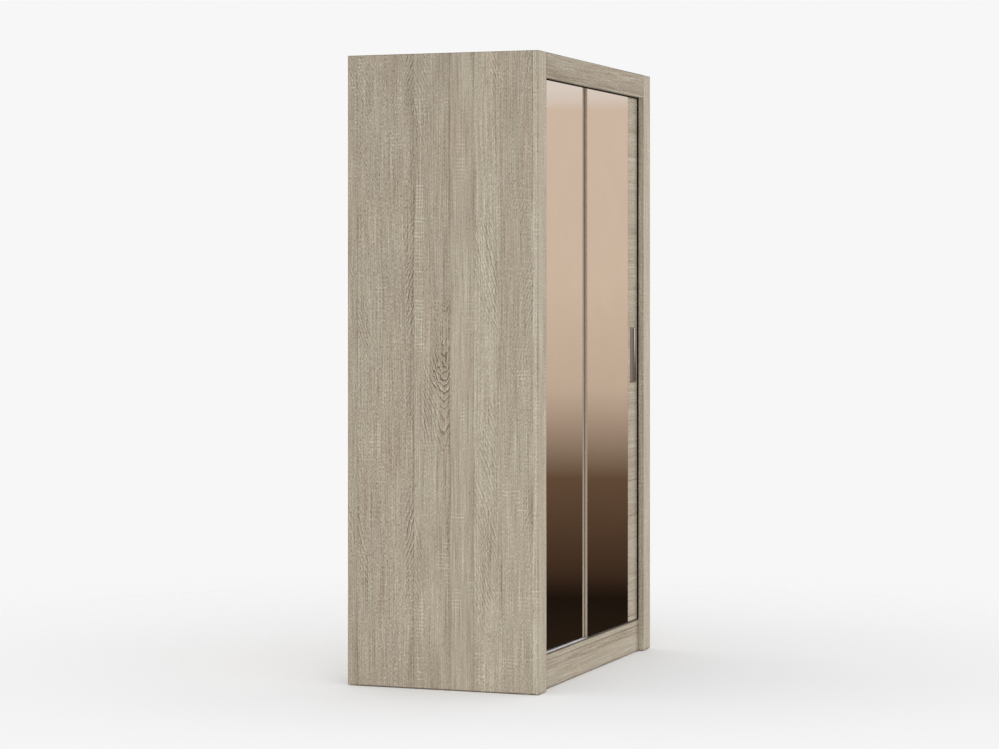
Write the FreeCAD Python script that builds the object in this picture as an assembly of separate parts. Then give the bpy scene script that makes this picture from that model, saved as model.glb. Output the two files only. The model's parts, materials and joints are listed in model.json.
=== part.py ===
import FreeCAD, Part
import os

# Sliding door wardrobe, in millimetres.
# X runs to the right, Y to the back and Z up.  The origin is the middle of the
# footprint on the floor, so the front of the frame is at -DEPTH / 2.

# Driving dimensions of the whole cabinet
WIDTH = 1200.0
DEPTH = 650.0
HEIGHT = 2030.0
BOARD = 18.0
GLIDE_HEIGHT = 3.0
PLINTH_TOP = 92.0
STILE_WIDTH = 80.0
FASCIA_HEIGHT = 80.0
EASE = 0.5

# Sliding doors
DOOR_THICKNESS = 16.0
DOOR_OVERLAP = 90.0
DOOR_SIDE_GAP = 2.0
DOOR_GAP = 4.0
FRONT_DOOR_SETBACK = 22.0
DOOR_BOTTOM = 114.0
DOOR_TOP = 1996.0
MIRROR_THICKNESS = 4.0
MIRROR_ZONE = 455.0
MIRROR_SHADOW_GAP = 1.0
EDGE_STRIP = 3.0
EDGE_GROOVE_WIDTH = 4.0
EDGE_GROOVE_DEPTH = 1.5

# Recessed pull, placed from the door's free edge
PULL_START = 478.0
PULL_END = 549.0
PULL_BOTTOM = 947.0
PULL_TOP = 1143.0
PULL_FLANGE = 1.2
PULL_RIM = 2.0
PULL_BODY_DEPTH = 10.5
PULL_POCKET_DEPTH = 11.0
PULL_POCKET_SLACK = 0.1
TROUGH_MARGIN = 4.5
TROUGH_DEPTH = 10.0

# Rollers in the bottom edge of each door
CARRIER_OFFSET = 80.0
CARRIER_LENGTH = 60.0
CARRIER_THICKNESS = 9.6
CHEEK = 1.8
BRIDGE = 3.0
CARRIER_TOP_GAP = 0.2
CHEEK_LIFT = 0.6
NOTCH_LENGTH = 64.0
NOTCH_HEIGHT = 34.0
NOTCH_DEPTH = 10.0
WHEEL_RADIUS = 11.0
WHEEL_TREAD_RADIUS = 9.5
WHEEL_WIDTH = 5.0
WHEEL_GROOVE = 3.0
WHEEL_SHOULDER = 1.5
WHEEL_ABOVE_RIB = 0.3
AXLE_RADIUS = 2.5
AXLE_CLEARANCE = 0.06
AXLE_HOLE_SLACK = 0.02

# Tracks
TRACK_BASE = 1.5
RIB_HEIGHT = 1.5
RIB_WIDTH = 1.8
LIP_WIDTH = 1.5
BOTTOM_TRACK_MARGIN = 1.0
TOP_WALL = 1.6
TOP_WALL_HEIGHT = 35.0
TOP_TRACK_BASE = 2.0
TOP_TRACK_GAP = 1.2
GLIDER_LENGTH = 40.0
GLIDER_WALL = 0.8
GLIDER_DROP = 12.0
GLIDER_CROWN = 2.0
TRACK_END_GAP = 1.0
BOTTOM_TRACK_BEHIND = 5.0

# Rubber dust seals behind the stiles and the fascia
SEAL_SIDE_REACH = 8.0
SEAL_TOP_REACH = 4.5
SEAL_FOOT = 7.0
SEAL_BASE = 1.4
SEAL_LIP = 1.0
SEAL_DEPTH = 3.4
SEAL_END_GAP = 0.5

# Inside
PARTITION_FRONT = -250.0
SHELF_FRONT = -245.0
SHELF_BACK = 305.0
SHELF_SIDE_GAP = 1.0
SHELF_COUNT = 4
HAT_SHELF_BOTTOM = 1700.0
RAIL_DROP = 60.0
RAIL_Y = 30.0
RAIL_TALL = 30.0
RAIL_WIDE = 15.0
RAIL_WALL = 1.2
RAIL_CUP_DEPTH = 14.0
RAIL_CUP_WALL = 2.4
RAIL_CUP_SLACK = 0.3
RAIL_PLATE = 2.0
RAIL_PLATE_MARGIN = 3.5
RAIL_PLATE_TALL = 64.0
RAIL_END_GAP = 0.5
RAIL_SCREW_OFFSET = 24.0

# Back
BACK_THICKNESS = 3.0
BACK_INSET = 12.0
GROOVE_DEPTH = 8.0
GROOVE_SLACK = 0.2
BACK_END_SLACK = 0.4
STRIP_WEB = 6.0
STRIP_WIDTH = 22.0
STRIP_FLANGE = 0.8

# Dowels and cams
PIN_SLACK = 0.05
HOLE_RELIEF = 0.5
DOWEL_RADIUS = 4.0
DOWEL_SHORT_END = 10.0
DOWEL_LONG_END = 20.0
DOWEL_Y = (-150.0, 150.0)
STILE_DOWEL_Z = (200.0, 1015.0, 1830.0)
FASCIA_DOWEL_X = (-400.0, 0.0, 400.0)
CAM_RADIUS = 7.5
CAM_DEPTH = 12.5
CAM_SETBACK = 34.0
CAM_Y = (-230.0, 20.0, 250.0)
CAM_SLOT_WIDTH = 1.6
CAM_SLOT_LENGTH = 10.0
CAM_SLOT_DEPTH = 2.0
CAM_BOLT_RADIUS = 3.0
CAM_BOLT_BITE = 11.0
CAM_BOLT_GAP = 0.3

# Screws
SCREW_RADIUS = 2.0
SCREW_HEAD_RADIUS = 3.5
SCREW_HEAD = 1.8
SCREW_BITE = 12.0
PARTITION_SCREW_RADIUS = 3.4
PARTITION_SCREW_HEAD_RADIUS = 5.0
PARTITION_SCREW_HEAD = 4.0
PARTITION_SCREW_LENGTH = 50.0
PARTITION_SCREW_Y = (-200.0, 30.0, 260.0)
TRACK_SCREW_HEAD = 1.0
BOTTOM_TRACK_SCREW_X = (-540.0, -270.0, 0.0, 270.0, 540.0)
TOP_TRACK_SCREW_X = (-500.0, -250.0, 120.0, 360.0, 560.0)
STRIP_SCREW_RADIUS = 1.5
STRIP_SCREW_HEAD_RADIUS = 3.0
STRIP_SCREW_HEAD = 1.5
STRIP_SCREW_LENGTH = 20.0
STRIP_SCREW_COUNT = 6
STRIP_SCREW_START = 90.0
STRIP_SCREW_PITCH = 340.0
CARRIER_SCREW_OFFSET = 21.0
CARRIER_SCREW_LENGTH = 26.0
CARRIER_SCREW_HEAD_RADIUS = 2.8
CARRIER_SCREW_HEAD = 1.6

# Shelf pins
SHELF_PIN_RADIUS = 2.5
SHELF_PIN_DEPTH = 9.0
SHELF_PIN_DROP = 8.0
SHELF_PIN_Y = (-180.0, 240.0)
SHELF_PIN_HALF = 4.0
SHELF_PIN_PLATE = 1.2
SHELF_PIN_PLATE_DROP = 14.0
SHELF_PIN_TAB = 1.6
SHELF_PIN_REACH = 10.0
PIN_HOLE_PITCH = 32.0

# Floor glides and door bumpers
GLIDE_TOP_RADIUS = 8.0
GLIDE_FOOT_RADIUS = 7.0
GLIDE_NAIL_RADIUS = 1.2
GLIDE_NAIL = 14.0
SIDE_GLIDE_Y = (-290.0, 0.0, 300.0)
PLINTH_GLIDE_X = (-300.0, 0.0, 300.0)
BUMPER_RADIUS = 6.0
BUMPER_HEIGHT = 1.5
BUMPER_Z = (400.0, 1700.0)

# Anti-tip brackets
TIP_BRACKET_X = 300.0
TIP_BRACKET_WIDTH = 40.0
TIP_BRACKET_LEG = 40.0
TIP_BRACKET_DROP = 50.0
TIP_BRACKET_METAL = 2.5
TIP_SCREW_OFFSET = 10.0
WALL_HOLE_RADIUS = 3.25
WALL_HOLE_DROP = 27.0
BACK_HOLE_RADIUS = 4.5

# Planes worked out from the driving dimensions
HALF = WIDTH / 2
INNER = HALF - BOARD
FRONT = -DEPTH / 2
CARCASS_FRONT = FRONT + BOARD
REAR = DEPTH / 2
FLOOR_TOP = PLINTH_TOP + BOARD
CEILING = HEIGHT - BOARD
BACK_FRONT = REAR - BACK_INSET - BACK_THICKNESS
BACK_REAR = REAR - BACK_INSET
PARTITION_BACK = BACK_FRONT - GROOVE_SLACK - STRIP_FLANGE
RIGHT_DOOR_FACE = FRONT + FRONT_DOOR_SETBACK
LEFT_DOOR_FACE = RIGHT_DOOR_FACE + DOOR_THICKNESS + DOOR_GAP
DOOR_WIDTH = INNER - DOOR_SIDE_GAP + DOOR_OVERLAP / 2
WHEEL_INSET = NOTCH_DEPTH / 2
CARRIER_TOP = DOOR_BOTTOM + NOTCH_HEIGHT - CARRIER_TOP_GAP
FRONT_PLINTH_MIDDLE = CARCASS_FRONT + BOARD / 2
REAR_PLINTH_MIDDLE = BACK_FRONT - BOARD * 1.5
RIB_TOP = FLOOR_TOP + TRACK_BASE + RIB_HEIGHT
AXLE_Z = RIB_TOP + WHEEL_ABOVE_RIB + WHEEL_TREAD_RADIUS
RAIL_Z = HAT_SHELF_BOTTOM - RAIL_DROP
BAY_HEIGHT = (CEILING - FLOOR_TOP - SHELF_COUNT * BOARD) / (SHELF_COUNT + 1)
SHELF_BOTTOMS = [FLOOR_TOP + BAY_HEIGHT + (BAY_HEIGHT + BOARD) * k for k in range(SHELF_COUNT)]

LEFT = -1
RIGHT = 1
DOORS = {"left_door": (LEFT, LEFT_DOOR_FACE), "right_door": (RIGHT, RIGHT_DOOR_FACE)}

Y_AXIS = FreeCAD.Vector(0, 1, 0)


def block(x, y, z):
    """A box from three (one end, other end) pairs, given in either order."""
    low = FreeCAD.Vector(min(x), min(y), min(z))
    high = FreeCAD.Vector(max(x), max(y), max(z))
    size = high - low
    return Part.makeBox(size.x, size.y, size.z, low)


def board(x, y, z, ease=EASE):
    """A laminated board whose banded edges are slightly eased."""
    shape = block(x, y, z)
    return shape.makeChamfer(ease, shape.Edges)


def rod(radius, start, end):
    """A round bar between two points."""
    start = FreeCAD.Vector(*start)
    run = FreeCAD.Vector(*end) - start
    return Part.makeCylinder(radius, run.Length, start, run)


def hole(radius, start, end, slack=PIN_SLACK):
    """The drilling for a round bar, a little wider and a little deeper at its end."""
    start = FreeCAD.Vector(*start)
    run = FreeCAD.Vector(*end) - start
    return Part.makeCylinder(radius + slack, run.Length + HOLE_RELIEF, start, run)


def screw(start, end, radius, head_radius, head_height):
    """A screw whose shank runs from start, where its pan head sits, to end."""
    start = FreeCAD.Vector(*start)
    run = FreeCAD.Vector(*end) - start
    shank = Part.makeCylinder(radius, run.Length, start, run)
    head = Part.makeCylinder(head_radius, head_height, start, run * -1)
    rim = [e for e in head.Edges if abs(e.CenterOfMass.distanceToPoint(start) - head_height) < 0.01]
    head = head.makeChamfer(head_height * 0.4, rim)
    return shank.fuse(head).removeSplitter()


def countersunk_screw(start, end, radius, head_radius, head_height):
    """A screw whose flat head ends flush with the face at start."""
    start = FreeCAD.Vector(*start)
    run = FreeCAD.Vector(*end) - start
    shank = Part.makeCylinder(radius, run.Length, start, run)
    head = Part.makeCone(head_radius, radius, head_height, start, run)
    return shank.fuse(head).removeSplitter()


def drill(shape, tools):
    """Cut only the tools that reach the shape."""
    near = [tool for tool in tools if shape.BoundBox.intersect(tool.BoundBox)]
    return shape.cut(near) if near else shape


def export(name, solids):
    """Write one node, as a single solid or as a group of separate ones."""
    solids = solids if isinstance(solids, list) else [solids]
    shape = solids[0] if len(solids) == 1 else Part.makeCompound(solids)
    if not shape.isValid():
        raise ValueError(name + " is not a valid shape")
    shape.exportStep("parts/" + name + ".step")
    print(name, len(shape.Solids), "solids,", round(shape.Volume / 1000.0, 2), "cm3")


# ---------------------------------------------------------------- fasteners

def end_joint_lines(z, y_places):
    """Dowels along X that join a board between the sides to both side panels."""
    lines = []
    for side in (LEFT, RIGHT):
        outer_x = side * (INNER + DOWEL_SHORT_END)
        inner_x = side * (INNER - DOWEL_LONG_END)
        lines += [((outer_x, y, z), (inner_x, y, z)) for y in y_places]
    return lines


def frame_dowel(x, z):
    """A dowel that joins the front frame to a board's front edge."""
    return (x, CARCASS_FRONT - DOWEL_SHORT_END, z), (x, CARCASS_FRONT + DOWEL_LONG_END, z)


def dowel_lines():
    """Where every wooden dowel lies, as (start, end) pairs."""
    top_middle = CEILING + BOARD / 2
    floor_middle = PLINTH_TOP + BOARD / 2
    plinth_middle = (GLIDE_HEIGHT + PLINTH_TOP) / 2
    lines = end_joint_lines(top_middle, DOWEL_Y)
    lines += end_joint_lines(floor_middle, DOWEL_Y)
    lines += end_joint_lines(plinth_middle, (FRONT_PLINTH_MIDDLE, REAR_PLINTH_MIDDLE))
    for side in (LEFT, RIGHT):
        lines += [frame_dowel(side * (HALF - BOARD / 2), z) for z in STILE_DOWEL_Z]
    lines += [frame_dowel(x, top_middle) for x in FASCIA_DOWEL_X]
    for y, way in ((FRONT_PLINTH_MIDDLE + BOARD / 2, 1), (REAR_PLINTH_MIDDLE - BOARD / 2, -1)):
        start = (0, y - way * DOWEL_SHORT_END, plinth_middle)
        lines.append((start, (0, y + way * DOWEL_LONG_END, plinth_middle)))
    return lines


def cam_places():
    """Centre and open face of every cam: (side, y, z of the face, way into the board)."""
    places = []
    for side in (LEFT, RIGHT):
        for y in CAM_Y:
            places.append((side, y, CEILING))
            places.append((side, y, PLINTH_TOP))
    return places


def cam_line(side, y, face):
    x = side * (INNER - CAM_SETBACK)
    return (x, y, face), (x, y, face + CAM_DEPTH)


def cam_bolt_line(side, y, face):
    z = face + BOARD / 2
    near = INNER - CAM_SETBACK + CAM_RADIUS + CAM_BOLT_GAP
    return (side * (INNER + CAM_BOLT_BITE), y, z), (side * near, y, z)


def partition_screw_lines():
    """Screws down through the top panel and up through the bottom panel."""
    lines = []
    for y in PARTITION_SCREW_Y:
        lines.append(((0, y, HEIGHT), (0, y, HEIGHT - PARTITION_SCREW_LENGTH)))
        lines.append(((0, y, PLINTH_TOP), (0, y, PLINTH_TOP + PARTITION_SCREW_LENGTH)))
    return lines


def tip_bracket_screw_lines():
    lines = []
    for side in (LEFT, RIGHT):
        for offset in (-TIP_SCREW_OFFSET, TIP_SCREW_OFFSET):
            x = side * TIP_BRACKET_X + offset
            y = BACK_FRONT - TIP_BRACKET_LEG / 2
            lines.append(((x, y, CEILING - TIP_BRACKET_METAL), (x, y, CEILING + SCREW_BITE)))
    return lines


def rail_bracket_screw_lines():
    """Two screws through each cup's plate, shorter ones on the partition."""
    lines = []
    for start_x, end_x in ((BOARD / 2 + RAIL_PLATE, 1.0), (INNER - RAIL_PLATE, INNER + SCREW_BITE)):
        for offset in (-RAIL_SCREW_OFFSET, RAIL_SCREW_OFFSET):
            lines.append(((start_x, RAIL_Y, RAIL_Z + offset), (end_x, RAIL_Y, RAIL_Z + offset)))
    return lines


def track_screw_lines():
    """Bottom track screws between the two ribs, top track screws in both channels."""
    lines = []
    y = LEFT_DOOR_FACE + 1.0
    for x in BOTTOM_TRACK_SCREW_X:
        lines.append(((x, y, FLOOR_TOP + TRACK_BASE), (x, y, FLOOR_TOP - SCREW_BITE)))
    for x in TOP_TRACK_SCREW_X:
        for face in (RIGHT_DOOR_FACE, LEFT_DOOR_FACE):
            y = face + DOOR_THICKNESS / 2
            lines.append(((x, y, CEILING - TOP_TRACK_BASE), (x, y, CEILING + SCREW_BITE)))
    return lines


def strip_screw_lines():
    rear = BACK_REAR + GROOVE_SLACK + STRIP_FLANGE
    places = [FLOOR_TOP + STRIP_SCREW_START + STRIP_SCREW_PITCH * k for k in range(STRIP_SCREW_COUNT)]
    return [((0, rear, z), (0, rear - STRIP_SCREW_LENGTH, z)) for z in places]


def shelf_pin_places():
    """Each pin: (face it stands on, way into that board, depth in it, y, shelf bottom)."""
    side_depth = SHELF_PIN_DEPTH
    middle_depth = BOARD / 2 - 2
    places = []
    for y in SHELF_PIN_Y:
        for z in SHELF_BOTTOMS:
            places.append((-INNER, -1, side_depth, y, z))
            places.append((-BOARD / 2, 1, middle_depth, y, z))
        places.append((BOARD / 2, -1, middle_depth, y, HAT_SHELF_BOTTOM))
        places.append((INNER, 1, side_depth, y, HAT_SHELF_BOTTOM))
    return places


def shelf_pin(face, way, depth, y, shelf_bottom):
    """A peg with a back plate and a small tab that the shelf lies on."""
    z = shelf_bottom - SHELF_PIN_DROP
    wide = (y - SHELF_PIN_HALF, y + SHELF_PIN_HALF)
    peg = rod(SHELF_PIN_RADIUS, (face - way * SHELF_PIN_PLATE / 2, y, z), (face + way * depth, y, z))
    plate_z = (shelf_bottom - SHELF_PIN_PLATE_DROP, shelf_bottom)
    plate = block((face, face - way * SHELF_PIN_PLATE), wide, plate_z)
    tab = block((face, face - way * SHELF_PIN_REACH), wide, (shelf_bottom - SHELF_PIN_TAB, shelf_bottom))
    return peg.fuse([plate, tab]).removeSplitter()


def shelf_pin_holes():
    """A short ladder of holes above and below each pin, so the shelf can be moved."""
    tools = []
    for face, way, depth, y, shelf_bottom in shelf_pin_places():
        for step in (-1, 0, 1):
            z = shelf_bottom - SHELF_PIN_DROP + step * PIN_HOLE_PITCH
            tools.append(hole(SHELF_PIN_RADIUS, (face, y, z), (face + way * depth, y, z)))
    return tools


def glide_places():
    """Nail-on glides under the panels that carry the weight."""
    places = [(side * (HALF - BOARD / 2), y) for side in (LEFT, RIGHT) for y in SIDE_GLIDE_Y]
    places += [(x, FRONT_PLINTH_MIDDLE) for x in PLINTH_GLIDE_X]
    places += [(x, REAR_PLINTH_MIDDLE) for x in PLINTH_GLIDE_X]
    return places


def glide_nail_line(x, y):
    return (x, y, GLIDE_HEIGHT), (x, y, GLIDE_HEIGHT + GLIDE_NAIL)


def glide(x, y):
    centre = FreeCAD.Vector(x, y, 0)
    foot = Part.makeCone(GLIDE_FOOT_RADIUS, GLIDE_TOP_RADIUS, GLIDE_HEIGHT, centre)
    return foot.fuse(rod(GLIDE_NAIL_RADIUS, *glide_nail_line(x, y))).removeSplitter()


def carcass_drillings():
    """Every drilling in the fixed boards."""
    tools = []
    for start, end in dowel_lines():
        tools.append(hole(DOWEL_RADIUS, start, end))
        tools.append(hole(DOWEL_RADIUS, end, start))
    for place in cam_places():
        tools.append(hole(CAM_RADIUS, *cam_line(*place)))
        start, end = cam_bolt_line(*place)
        tools.append(hole(CAM_BOLT_RADIUS, start, end))
        tools.append(hole(CAM_BOLT_RADIUS, end, start))
    for start, end in partition_screw_lines():
        tools.append(hole(PARTITION_SCREW_RADIUS, start, end))
        way = FreeCAD.Vector(*end) - FreeCAD.Vector(*start)
        wide = PARTITION_SCREW_HEAD_RADIUS + 0.1
        narrow = PARTITION_SCREW_RADIUS + PIN_SLACK
        tools.append(Part.makeCone(wide, narrow, PARTITION_SCREW_HEAD, FreeCAD.Vector(*start), way))
    small = tip_bracket_screw_lines() + rail_bracket_screw_lines() + track_screw_lines()
    tools += [hole(SCREW_RADIUS, *line) for line in small]
    tools += [hole(STRIP_SCREW_RADIUS, *line) for line in strip_screw_lines()]
    tools += [hole(GLIDE_NAIL_RADIUS, *glide_nail_line(*place)) for place in glide_places()]
    return tools + shelf_pin_holes()


def cam_lock(side, y, face):
    """A cam with a screwdriver slot in its open face."""
    start, end = cam_line(side, y, face)
    slot_x = (start[0] - CAM_SLOT_LENGTH / 2, start[0] + CAM_SLOT_LENGTH / 2)
    slot_y = (y - CAM_SLOT_WIDTH / 2, y + CAM_SLOT_WIDTH / 2)
    return rod(CAM_RADIUS, start, end).cut(block(slot_x, slot_y, (face, face + CAM_SLOT_DEPTH)))


def partition_screw(start, end):
    sizes = (PARTITION_SCREW_RADIUS, PARTITION_SCREW_HEAD_RADIUS, PARTITION_SCREW_HEAD)
    return countersunk_screw(start, end, *sizes)


def write_fasteners():
    export("dowels", [rod(DOWEL_RADIUS, *line) for line in dowel_lines()])
    export("cam_locks", [cam_lock(*place) for place in cam_places()])
    export("cam_bolts", [rod(CAM_BOLT_RADIUS, *cam_bolt_line(*place)) for place in cam_places()])
    export("partition_screws", [partition_screw(*line) for line in partition_screw_lines()])
    common = (SCREW_RADIUS, SCREW_HEAD_RADIUS, SCREW_HEAD)
    export("tip_bracket_screws", [screw(*line, *common) for line in tip_bracket_screw_lines()])
    export("rail_bracket_screws", [screw(*line, *common) for line in rail_bracket_screw_lines()])
    flat = (SCREW_RADIUS, SCREW_HEAD_RADIUS, TRACK_SCREW_HEAD)
    export("track_screws", [screw(*line, *flat) for line in track_screw_lines()])
    small = (STRIP_SCREW_RADIUS, STRIP_SCREW_HEAD_RADIUS, STRIP_SCREW_HEAD)
    export("back_strip_screws", [screw(*line, *small) for line in strip_screw_lines()])
    export("shelf_pins", [shelf_pin(*place) for place in shelf_pin_places()])
    export("floor_glides", [glide(*place) for place in glide_places()])


# ------------------------------------------------------------ fixed carcass

def back_groove(z):
    """The groove that the back panels sit in, over the height z."""
    y = (BACK_FRONT - GROOVE_SLACK, BACK_REAR + GROOVE_SLACK)
    return block((-INNER - GROOVE_DEPTH, INNER + GROOVE_DEPTH), y, z)


def write_carcass(tools):
    depth = (CARCASS_FRONT, REAR)
    standing = (GLIDE_HEIGHT, HEIGHT)
    groove = back_groove((FLOOR_TOP - GROOVE_DEPTH, CEILING + GROOVE_DEPTH))
    for name, side in (("left_side_panel", LEFT), ("right_side_panel", RIGHT)):
        panel = board((side * INNER, side * HALF), depth, standing)
        export(name, drill(panel, tools + [groove]))
    between = (-INNER, INNER)
    export("top_panel", drill(board(between, depth, (CEILING, HEIGHT)), tools + [groove]))
    export("bottom_panel", drill(board(between, depth, (PLINTH_TOP, FLOOR_TOP)), tools + [groove]))

    plinth = (GLIDE_HEIGHT, PLINTH_TOP)
    front_y = (CARCASS_FRONT, CARCASS_FRONT + BOARD)
    rear_y = (BACK_FRONT - BOARD * 2, BACK_FRONT - BOARD)
    export("front_plinth", drill(board(between, front_y, plinth), tools))
    export("rear_plinth", drill(board(between, rear_y, plinth), tools))
    export("plinth_brace", drill(board((-BOARD / 2, BOARD / 2), (front_y[1], rear_y[0]), plinth), tools))

    face = (FRONT, CARCASS_FRONT)
    for name, side in (("left_stile", LEFT), ("right_stile", RIGHT)):
        export(name, drill(board((side * (HALF - STILE_WIDTH), side * HALF), face, standing), tools))
    fascia_x = (-HALF + STILE_WIDTH, HALF - STILE_WIDTH)
    export("top_fascia", drill(board(fascia_x, face, (HEIGHT - FASCIA_HEIGHT, HEIGHT)), tools))

    partition_y = (PARTITION_FRONT, PARTITION_BACK)
    partition = board((-BOARD / 2, BOARD / 2), partition_y, (FLOOR_TOP, CEILING))
    export("centre_partition", drill(partition, tools))


def wall_hole(side, radius):
    """The way of a wall screw through an anti-tip bracket and the back panel."""
    x = side * TIP_BRACKET_X
    z = CEILING - WALL_HOLE_DROP
    return rod(radius, (x, BACK_FRONT - TIP_BRACKET_METAL - 1, z), (x, REAR, z))


def seal_outline(reach):
    """A seal's section: (way inward from the frame's edge, way back from its rear face)."""
    return [
        (-SEAL_FOOT, 0.0), (SEAL_LIP, 0.0), (reach, SEAL_DEPTH - SEAL_LIP), (reach, SEAL_DEPTH),
        (SEAL_LIP, SEAL_BASE), (-SEAL_FOOT, SEAL_BASE),
    ]


def extruded(points, run):
    return Part.Face(Part.makePolygon(points + points[:1])).extrude(run)


def write_dust_seals():
    """Soft lips that close the gap between the front frame and the front door."""
    edge = HALF - STILE_WIDTH
    frame_bottom = HEIGHT - FASCIA_HEIGHT
    rise = FreeCAD.Vector(0, 0, frame_bottom + SEAL_FOOT - DOOR_BOTTOM)
    seals = []
    for side in (LEFT, RIGHT):
        outline = seal_outline(SEAL_SIDE_REACH)
        points = [FreeCAD.Vector(side * (edge - u), CARCASS_FRONT + v, DOOR_BOTTOM) for u, v in outline]
        seals.append(extruded(points, rise))
    end = edge - SEAL_SIDE_REACH - SEAL_END_GAP
    outline = seal_outline(SEAL_TOP_REACH)
    points = [FreeCAD.Vector(-end, CARCASS_FRONT + v, frame_bottom - u) for u, v in outline]
    seals.append(extruded(points, FreeCAD.Vector(2 * end, 0, 0)))
    export("dust_seals", seals)


def write_back():
    """Two thin back panels in the groove, joined by an H-shaped strip on the partition."""
    rear = (BACK_FRONT, BACK_REAR)
    z = (FLOOR_TOP - GROOVE_DEPTH + BACK_END_SLACK, CEILING + GROOVE_DEPTH - BACK_END_SLACK)
    for name, side in (("left_back_panel", LEFT), ("right_back_panel", RIGHT)):
        x = (side * (STRIP_WEB / 2 + BACK_END_SLACK), side * (INNER + GROOVE_DEPTH - BACK_END_SLACK))
        export(name, block(x, rear, z).cut(wall_hole(side, BACK_HOLE_RADIUS)))

    strip_z = (FLOOR_TOP + 1, CEILING - 1)
    half = STRIP_WIDTH / 2
    front_flange = block((-half, half), (PARTITION_BACK, BACK_FRONT - GROOVE_SLACK), strip_z)
    web_y = (BACK_FRONT - GROOVE_SLACK, BACK_REAR + GROOVE_SLACK)
    web = block((-STRIP_WEB / 2, STRIP_WEB / 2), web_y, strip_z)
    rear_flange = block((-half, half), (web_y[1], web_y[1] + STRIP_FLANGE), strip_z)
    strip = front_flange.fuse([web, rear_flange]).removeSplitter()
    screw_holes = [hole(STRIP_SCREW_RADIUS, *line) for line in strip_screw_lines()]
    export("back_joint_strip", drill(strip, screw_holes))


# ------------------------------------------------------------------- inside

def write_shelves():
    left_x = (-INNER + SHELF_SIDE_GAP, -BOARD / 2 - SHELF_SIDE_GAP)
    right_x = (BOARD / 2 + SHELF_SIDE_GAP, INNER - SHELF_SIDE_GAP)
    depth = (SHELF_FRONT, SHELF_BACK)
    for number, bottom in enumerate(SHELF_BOTTOMS, start=1):
        export("left_shelf_%d" % number, board(left_x, depth, (bottom, bottom + BOARD)))
    hat_z = (HAT_SHELF_BOTTOM, HAT_SHELF_BOTTOM + BOARD)
    export("hat_shelf", board(right_x, depth, hat_z))


def oval_bar(x, wide, tall):
    """A flat-sided oval bar along X, centred on the rail's axis."""
    radius = wide / 2
    straight = tall / 2 - radius
    core = block(x, (RAIL_Y - radius, RAIL_Y + radius), (RAIL_Z - straight, RAIL_Z + straight))
    axes = (RAIL_Z - straight, RAIL_Z + straight)
    ends = [rod(radius, (x[0], RAIL_Y, z), (x[1], RAIL_Y, z)) for z in axes]
    return core.fuse(ends).removeSplitter()


def rail_cup(face, way):
    """A plate on a board with an open-topped cup that the rail drops into."""
    outer = 2 * (RAIL_CUP_WALL + RAIL_CUP_SLACK)
    inner = 2 * RAIL_CUP_SLACK
    floor = face + way * RAIL_PLATE
    mouth = face + way * (RAIL_CUP_DEPTH + 1)
    plate = oval_bar((face, floor), RAIL_WIDE + 2 * RAIL_PLATE_MARGIN, RAIL_PLATE_TALL)
    cup = oval_bar((face, face + way * RAIL_CUP_DEPTH), RAIL_WIDE + outer, RAIL_TALL + outer)
    bore = oval_bar((floor, mouth), RAIL_WIDE + inner, RAIL_TALL + inner)
    throat_y = (RAIL_Y - (RAIL_WIDE + inner) / 2, RAIL_Y + (RAIL_WIDE + inner) / 2)
    throat = block((floor, mouth), throat_y, (RAIL_Z, RAIL_Z + RAIL_TALL))
    return plate.fuse(cup).cut([bore, throat])


def write_rail():
    start = BOARD / 2 + RAIL_PLATE + RAIL_END_GAP
    end = INNER - RAIL_PLATE - RAIL_END_GAP
    outside = oval_bar((start, end), RAIL_WIDE, RAIL_TALL)
    inside = oval_bar((start - 1, end + 1), RAIL_WIDE - 2 * RAIL_WALL, RAIL_TALL - 2 * RAIL_WALL)
    export("hanging_rail", outside.cut(inside))
    screw_holes = [hole(SCREW_RADIUS, *line) for line in rail_bracket_screw_lines()]
    cups = [rail_cup(BOARD / 2, 1), rail_cup(INNER, -1)]
    export("rail_brackets", [drill(cup, screw_holes) for cup in cups])


def tip_bracket(side):
    """An angle bracket under the top panel with a hole for a wall screw."""
    middle = side * TIP_BRACKET_X
    x = (middle - TIP_BRACKET_WIDTH / 2, middle + TIP_BRACKET_WIDTH / 2)
    leg_y = (BACK_FRONT - TIP_BRACKET_LEG, BACK_FRONT)
    leg = block(x, leg_y, (CEILING - TIP_BRACKET_METAL, CEILING))
    drop_y = (BACK_FRONT - TIP_BRACKET_METAL, BACK_FRONT)
    drop = block(x, drop_y, (CEILING - TIP_BRACKET_DROP, CEILING))
    return leg.fuse(drop).removeSplitter().cut(wall_hole(side, WALL_HOLE_RADIUS))


def write_tip_brackets():
    screw_holes = [hole(SCREW_RADIUS, *line) for line in tip_bracket_screw_lines()]
    export("anti_tip_brackets", [drill(tip_bracket(side), screw_holes) for side in (LEFT, RIGHT)])


# ------------------------------------------------------------------- tracks

def wheel_plane(door_face):
    return door_face + DOOR_THICKNESS - WHEEL_INSET


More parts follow.
